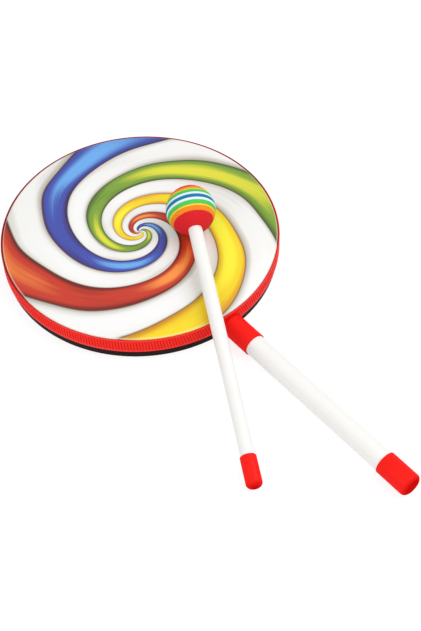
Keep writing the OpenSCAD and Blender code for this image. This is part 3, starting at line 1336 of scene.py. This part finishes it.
@dataclass
class Handle:
    """The handle: a tube that sits on the rim, its screws, the collar and the end cap.

    Places along it are measured from the drum's middle, and it fits three radii of the rim: the inside of
    the hoop, the seat of the tube and the outside of the band.
    """

    axis: Axis
    hoop_ri: float
    seat_r: float
    band_r: float
    facets: int = 96
    tube_r: float = 7.7 * MM
    tube_wall: float = 1.6 * MM
    tube_len: float = 176.2 * MM
    collar_wall: float = 0.75 * MM
    collar_len: float = 25.3 * MM
    collar_taper: float = 2 * MM
    collar_tuck: float = 0.9 * MM
    tuck_t: float = 0.1 * MM
    shoulder_r: float = 1.2 * MM
    collar_lip_r: float = 0.3 * MM
    collar_bore_r: float = 0.2 * MM
    cap: Cap = Cap(0.55 * MM, 24.8 * MM, 2.2 * MM, 3 * MM)
    screw_count: int = 2
    screw_r: float = 2 * MM
    screw_len: float = 30 * MM
    screw_tip: float = 4 * MM
    screw_point_r: float = 0.5 * MM
    screw_head_r: float = 3.3 * MM
    screw_head_h: float = 2.4 * MM
    screw_pitch: float = 7 * MM
    screw_facets: int = 32
    hole_room: float = 0.1 * MM
    hole_overrun: float = 3 * MM
    hole_facets: int = 48
    recess_r: float = 1.7 * MM
    recess_w: float = 0.75 * MM
    recess_rise: float = 1 * MM
    recess_depth: float = 1.3 * MM
    recess_mouth: float = 1.2
    recess_floor: float = 0.55

    @property
    def tube_end(self) -> float:
        """Where the tube ends."""
        return self.seat_r + self.tube_len

    @property
    def screw_seat(self) -> float:
        """Where the screws' flat heads meet the hollow side of the hoop."""
        return math.sqrt(self.hoop_ri**2 - self.screw_head_r**2) - GLUE

    def build(self) -> None:
        """Makes the handle's pieces, and dresses the hidden plug."""
        vinyl = DippedVinyl("handle_vinyl", self.axis).material()
        settle(self.build_tube(), Body.DRUM, "tube_white", "handle_tube")
        settle(self.build_collar(vinyl), Body.DRUM, "vinyl_red", "handle_collar")
        cap = self.cap.build("end_cap", self.axis, self.tube_r, self.tube_end, vinyl, self.facets)
        settle(cap, Body.DRUM, "vinyl_red", "handle_cap")
        settle(self.build_screws(), Body.DRUM, "screw_steel", "handle_screws")
        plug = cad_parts["handle_plug"]
        plug.data.materials.clear()
        plug.data.materials.append(TurnedWood("turned_wood", self.axis).material())
        LOG.info("%s: kept as it is, with its own finish", plug.name)

    def build_tube(self) -> Object:
        """Turns the tube, whose drum end is cut to a saddle that fits the rim.

        Returns:
            The tube.
        """
        inner = self.tube_r - self.tube_wall
        corners = [
            Corner(self.seat_r, inner, seated=True),
            Corner(self.seat_r, self.tube_r, seated=True),
            Corner(self.tube_end, self.tube_r, TUBE_EDGE_R),
            Corner(self.tube_end, inner, TUBE_EDGE_R),
        ]
        finish = TubePlastic("handle_plastic", self.axis).material()
        return TurnedShape(self.axis, corners, self.facets, self.seat_r).build("tube", [finish])

    def build_collar(self, vinyl: Material) -> Object:
        """Turns the collar, tapered to the band, with a thin lip that tucks into the band's arch.

        Args:
            vinyl: The collar's finish.

        Returns:
            The collar.
        """
        bore = self.tube_r + GLUE
        outside = bore + self.collar_wall
        seat = self.band_r + GLUE
        end = self.band_r + self.collar_len
        corners = [
            # Seated corners are marked in full, which the vinyl paints as shade where the collar meets the
            # band.
            Corner(seat - self.collar_tuck, bore, seated=True),
            Corner(seat - self.collar_tuck, bore + self.tuck_t, seated=True),
            Corner(seat, bore + self.tuck_t, seated=True),
            Corner(seat + self.collar_taper, outside, self.shoulder_r, seated=True),
            Corner(end, outside, self.collar_lip_r),
            Corner(end, bore, self.collar_bore_r),
        ]
        return TurnedShape(self.axis, corners, self.facets, seat).build("collar", [vinyl])

    def screw_cutters(self) -> list[Object]:
        """Makes the rods that cut the screw holes through the rim.

        Returns:
            One rod for each screw.
        """
        radius = self.screw_r + self.hole_room
        start = self.screw_seat - self.hole_overrun
        end = self.band_r + self.hole_overrun
        corners = [Corner(start, 0.0), Corner(start, radius), Corner(end, radius), Corner(end, 0.0)]
        rods = []
        for i in range(self.screw_count):
            height = self.screw_pitch * (i - (self.screw_count - 1) / 2)
            axis = Axis(self.axis.origin + Vector((0.0, 0.0, height)), self.axis.along)
            rods.append(TurnedShape(axis, corners, self.hole_facets).build("screw_rod", []))
        return rods

    def build_screws(self) -> Object:
        """Makes one pan-head screw with a cross recess and repeats it at the screws' pitch.

        Returns:
            The screws, as one piece.
        """
        head = self.screw_seat - self.screw_head_h
        tip = self.screw_seat + self.screw_len
        corners = [
            Corner(head, 0.0),
            Corner(head, self.screw_head_r, self.screw_head_h / 2),
            Corner(self.screw_seat, self.screw_head_r),
            Corner(self.screw_seat, self.screw_r),
            Corner(tip - self.screw_tip, self.screw_r),
            Corner(tip, self.screw_point_r),
            Corner(tip, 0.0),
        ]
        screw = TurnedShape(self.axis, corners, self.screw_facets).build("screws", [])
        carve(screw, [self._recess_cutter(head)])
        tree = ShapeSheet("screw_row")
        count = tree.entry("Count", self.screw_count, Entry.COUNT)
        pitch = tree.entry("Pitch", self.screw_pitch)
        finish = tree.entry("Finish", PlatedSteel("plated_steel", self.axis).material(), Entry.FINISH)
        first = tree.vector(z=pitch * (count - 1) / -2)
        line = {"Count": count, "Start Location": first, "Offset": tree.vector(z=pitch)}
        spots = tree.add("GeometryNodeMeshLine", {}, line, "Mesh")
        row = tree.add("GeometryNodeInstanceOnPoints", {}, {"Points": spots, "Instance": tree.shape})
        tree.close(row, finish)
        tree.run(screw)
        return screw

    def _recess_cutter(self, head: float) -> Object:
        """Makes a tapered cross that sinks into the screw's head.

        Args:
            head: Where the top of the head lies.

        Returns:
            The cross.
        """
        outline = []
        half = self.recess_w / 2
        for i in range(4):
            turn = Matrix.Rotation(i * math.pi / 2, 3, "Z")
            for x, y in ((self.recess_r, -half), (self.recess_r, half), (half, half)):
                outline.append(turn @ Vector((x, y, 0.0)))
        mouth = (head - self.recess_rise, self.recess_mouth)
        floor = (head + self.recess_depth, self.recess_floor)
        shape = bmesh.new()
        rings = []
        for along, scale in (mouth, floor):
            lift = Vector((0.0, 0.0, along))
            rings.append([shape.verts.new(self.axis.matrix @ (point * scale + lift)) for point in outline])
            shape.faces.new(rings[-1])
        for i in range(len(outline)):
            j = (i + 1) % len(outline)
            shape.faces.new((rings[0][i], rings[0][j], rings[1][j], rings[1][i]))
        return add_piece("cross_recess", mesh_of(shape, "cross_recess"))


@dataclass(frozen=True)
class Sheet:
    """A foam sheet: where it ends, from the ball's middle, and the colours of its skin and its shade."""

    end: float
    skin: Colour
    # The shade colour is painted shade in opened cells and a darker tone in uneven patches and along edges.
    shade: Colour


class Foam(Enum):
    """The ball's sheets, from its middle out."""

    BLUE = Sheet(1.4 * MM, (0.017, 0.185, 0.43), (0.009, 0.11, 0.29))
    WHITE = Sheet(3.4 * MM, (0.76, 0.91, 0.91), (0.58, 0.76, 0.78))
    GREEN = Sheet(6.4 * MM, (0.085, 0.58, 0.105), (0.045, 0.40, 0.060))
    YELLOW = Sheet(7.5 * MM, (0.92, 0.72, 0.040), (0.78, 0.54, 0.020))
    ORANGE = Sheet(10.5 * MM, (0.93, 0.27, 0.016), (0.76, 0.17, 0.009))
    RED = Sheet(18 * MM, (0.72, 0.012, 0.020), (0.52, 0.006, 0.012))


@dataclass
class Mallet:
    """The mallet: a tube with a cap, and a ball of bonded foam sheets turned round.

    Places along it are measured from the ball's middle.
    """

    axis: Axis
    ball_r: float = Foam.RED.value.end
    ball_facets: int = 128
    sheet_edge_r: float = 0.22 * MM
    arc_step: float = math.radians(3)
    stick_r: float = 5 * MM
    stick_wall: float = 1.4 * MM
    stick_start: float = GLUE - Foam.WHITE.value.end
    stick_len: float = 222.4 * MM
    stick_facets: int = 80
    cap: Cap = Cap(0.55 * MM, 22.2 * MM, 2 * MM, 3.5 * MM)

    @property
    def stick_end(self) -> float:
        """Where the stick's tube ends."""
        return self.stick_start + self.stick_len

    def build(self) -> None:
        """Makes the mallet's pieces."""
        settle(self.build_stick(), Body.MALLET, "tube_white", "mallet_stick")
        vinyl = DippedVinyl("stick_vinyl", self.axis).material()
        cap = self.cap.build("stick_cap", self.axis, self.stick_r, self.stick_end, vinyl, self.stick_facets)
        settle(cap, Body.MALLET, "vinyl_red", "mallet_cap")
        start = 0.0
        for foam in Foam:
            colour = foam.name.lower()
            sheet = foam.value
            finish = CellFoam(f"cell_foam_{colour}", self.axis, sheet.skin, sheet.shade).material()
            if foam is Foam.BLUE:
                self.build_sheet(f"foam_{colour}", finish, -sheet.end, sheet.end)
            else:
                self.build_sheet(f"foam_{colour}_near", finish, start, sheet.end)
                self.build_sheet(f"foam_{colour}_far", finish, -sheet.end, -start)
            start = sheet.end

    def build_stick(self) -> Object:
        """Turns the stick's tube.

        Returns:
            The tube.
        """
        inner = self.stick_r - self.stick_wall
        corners = [
            Corner(self.stick_start, inner, TUBE_EDGE_R),
            Corner(self.stick_start, self.stick_r, TUBE_EDGE_R),
            Corner(self.stick_end, self.stick_r, TUBE_EDGE_R),
            Corner(self.stick_end, inner, TUBE_EDGE_R),
        ]
        finish = TubePlastic("stick_plastic", self.axis).material()
        return TurnedShape(self.axis, corners, self.stick_facets).build("stick", [finish])

    def build_sheet(self, node: str, finish: Material, start: float, stop: float) -> None:
        """Turns one sheet of the ball, with eased edges, and drills it where the stick goes in.

        Args:
            node: The solid that it stands for.
            finish: Its foam.
            start: Where its first face lies along the stick.
            stop: Where its last face lies.
        """
        bore = self.stick_r + GLUE if stop > self.stick_start else 0.0
        first = max(start, -self.ball_r)
        last = min(stop, math.sqrt(self.ball_r**2 - bore**2))
        low = math.asin(first / self.ball_r)
        high = math.asin(last / self.ball_r)
        steps = math.ceil((high - low) / self.arc_step)
        corners = []
        if self.ball_r * math.cos(low) > bore + GLUE:
            corners.append(Corner(first, bore))
        for i in range(steps + 1):
            angle = low + (high - low) * i / steps
            radius = max(self.ball_r * math.cos(angle), bore)
            if radius < GLUE:
                radius = 0.0
            rounding = self.sheet_edge_r if i in (0, steps) and radius > 0 else 0.0
            corners.append(Corner(self.ball_r * math.sin(angle), radius, rounding))
        if self.ball_r * math.cos(high) > bore + GLUE:
            corners.append(Corner(last, bore))
        shape = TurnedShape(self.axis, corners, self.ball_facets)
        piece = shape.build(node.replace("foam", "sheet"), [finish])
        settle(piece, Body.MALLET, "_".join(node.split("_")[:2]), node)


@dataclass
class Studio:
    """The plain white studio: floor, soft light and the camera, placed from the drum's middle."""

    middle: Vector
    floor_half: float = 4.0
    floor_gap: float = 0.2 * MM
    floor_white: Colour = (0.80, 0.80, 0.80)
    seen_glow: float = 0.80
    seen_white: Colour = (0.30, 0.30, 0.30)
    sky_white: Colour = (1.0, 1.0, 1.0)
    sky_fill: float = 0.64
    key_power: float = 10.6
    key_size: float = 1.2
    key_place: Triple = (0.55, 0.75, 1.2)
    fill_power: float = 7.5
    fill_size: float = 1.4
    fill_place: Triple = (0.45, -1.25, 0.85)
    lens: float = 79.87
    sensor: float = 36.0
    camera_place: Triple = (0.57399, -0.39727, 0.76682)
    camera_aim: Triple = (0.081115, -0.001727, 0.0)
    camera_roll: float = math.radians(-1.6416)

    def build(self) -> None:
        """Makes the floor, the light and the camera."""
        bpy.context.scene.view_settings.view_transform = "Standard"
        self.build_camera()
        self.build_floor()
        self.build_sky()
        self.build_lamp("key_lamp", self.key_place, self.key_power, self.key_size)
        self.build_lamp("fill_lamp", self.fill_place, self.fill_power, self.fill_size)

    def build_camera(self) -> None:
        """Places the camera where the photograph was taken from."""
        lens = bpy.data.cameras.new("camera")
        lens.lens = self.lens
        lens.sensor_width = self.sensor
        place = Vector(self.camera_place)
        back = (place - Vector(self.camera_aim)).normalized()
        right = Vector((0.0, 0.0, 1.0)).cross(back).normalized()
        level = Matrix((right, back.cross(right), back)).transposed()
        turned = level @ Matrix.Rotation(self.camera_roll, 3, "Z")
        camera = add_object("camera", lens)
        camera.matrix_world = Matrix.Translation(self.middle + place) @ turned.to_4x4()
        bpy.context.scene.camera = camera

    def build_floor(self) -> None:
        """Lays the floor, which the camera and reflections see as white paper with a soft shadow."""
        half = self.floor_half
        sides = ((-half, -half), (half, -half), (half, half), (-half, half))
        mesh = bpy.data.meshes.new("floor")
        mesh.from_pydata([(x, y, -self.floor_gap) for x, y in sides], [], [(0, 1, 2, 3)])
        material = bpy.data.materials.new("floor_paper")
        sheet = NodeSheet.blank(material)
        plain = sheet.add("ShaderNodeBsdfDiffuse", {}, {"Color": self.floor_white})
        glow = sheet.add("ShaderNodeEmission", {}, {"Strength": self.seen_glow})
        paper = sheet.add("ShaderNodeBsdfDiffuse", {}, {"Color": self.seen_white})
        bright = sheet.add("ShaderNodeAddShader", {}, {0: glow, 1: paper})
        shader = sheet.add("ShaderNodeMixShader", {}, {0: self._seen(sheet), 1: plain, 2: bright})
        sheet.add("ShaderNodeOutputMaterial", {}, {"Surface": shader}, None)
        mesh.materials.append(material)
        add_object("floor", mesh)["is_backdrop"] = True

    @staticmethod
    def _seen(sheet: NodeSheet) -> Value:
        """Tells what the camera, a reflection or glass sees from what only gives light.

        Args:
            sheet: The node tree that asks.

        Returns:
            1 for what is seen, else 0.
        """
        camera = sheet.add("ShaderNodeLightPath", output="Is Camera Ray")
        glossy, through = sheet.others(camera, "Is Glossy Ray", "Is Transmission Ray")
        return camera.most(glossy).most(through)

    def build_sky(self) -> None:
        """Sets the white surroundings, which are dimmer as a light than they look."""
        world = bpy.data.worlds.new("studio")
        sheet = NodeSheet.blank(world)
        strength = self.sky_fill + self._seen(sheet) * (1.0 - self.sky_fill)
        sky = sheet.add("ShaderNodeBackground", {}, {"Color": self.sky_white, "Strength": strength})
        sheet.add("ShaderNodeOutputWorld", {}, {"Surface": sky}, None)
        bpy.context.scene.world = world

    def build_lamp(self, name: str, offset: Triple, power: float, size: float) -> None:
        """Hangs a large soft lamp that faces the drum.

        Args:
            name: The lamp's name.
            offset: Its place from the drum's middle.
            power: Its power in watts.
            size: The length of its sides.
        """
        lamp = bpy.data.lights.new(name, "AREA")
        lamp.energy = power
        lamp.size = size
        place = Vector(offset)
        aim = place.to_track_quat("Z", "Y").to_matrix().to_4x4()
        add_object(name, lamp).matrix_world = Matrix.Translation(self.middle + place) @ aim


def middle_of(node: str) -> Vector:
    """The middle of a solid's box."""
    low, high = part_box(node)
    return (low + high) / 2


def main() -> None:
    """Builds the studio, the drum, its handle and the mallet, and works out the two boxes."""
    logging.basicConfig(level=logging.INFO, format="%(name)s: %(message)s", stream=sys.stdout)
    hoop_middle = middle_of("drum_hoop")
    ball_middle = middle_of("foam_blue")
    drum_middle = Vector((hoop_middle.x, hoop_middle.y, 0.0))
    handle_start = Vector((hoop_middle.x, hoop_middle.y, middle_of("handle_tube").z))
    Studio(drum_middle).build()
    drum = Drum(Axis(drum_middle, Vector((0.0, 0.0, 1.0))))
    handle_axis = Axis(handle_start, Vector((1.0, 0.0, 0.0)))
    handle = Handle(handle_axis, drum.hoop_ri, drum.band_ri, drum.band_r)
    drum.build(handle)
    handle.build()
    Mallet(Axis(ball_middle, (middle_of("mallet_stick") - ball_middle).normalized())).build()
    boxes = {"cad": CAD_BOX, "visual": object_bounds()}
    {name: [list(corner) for corner in box] for name, box in boxes.items()}


if __name__ == "__main__":
    main()
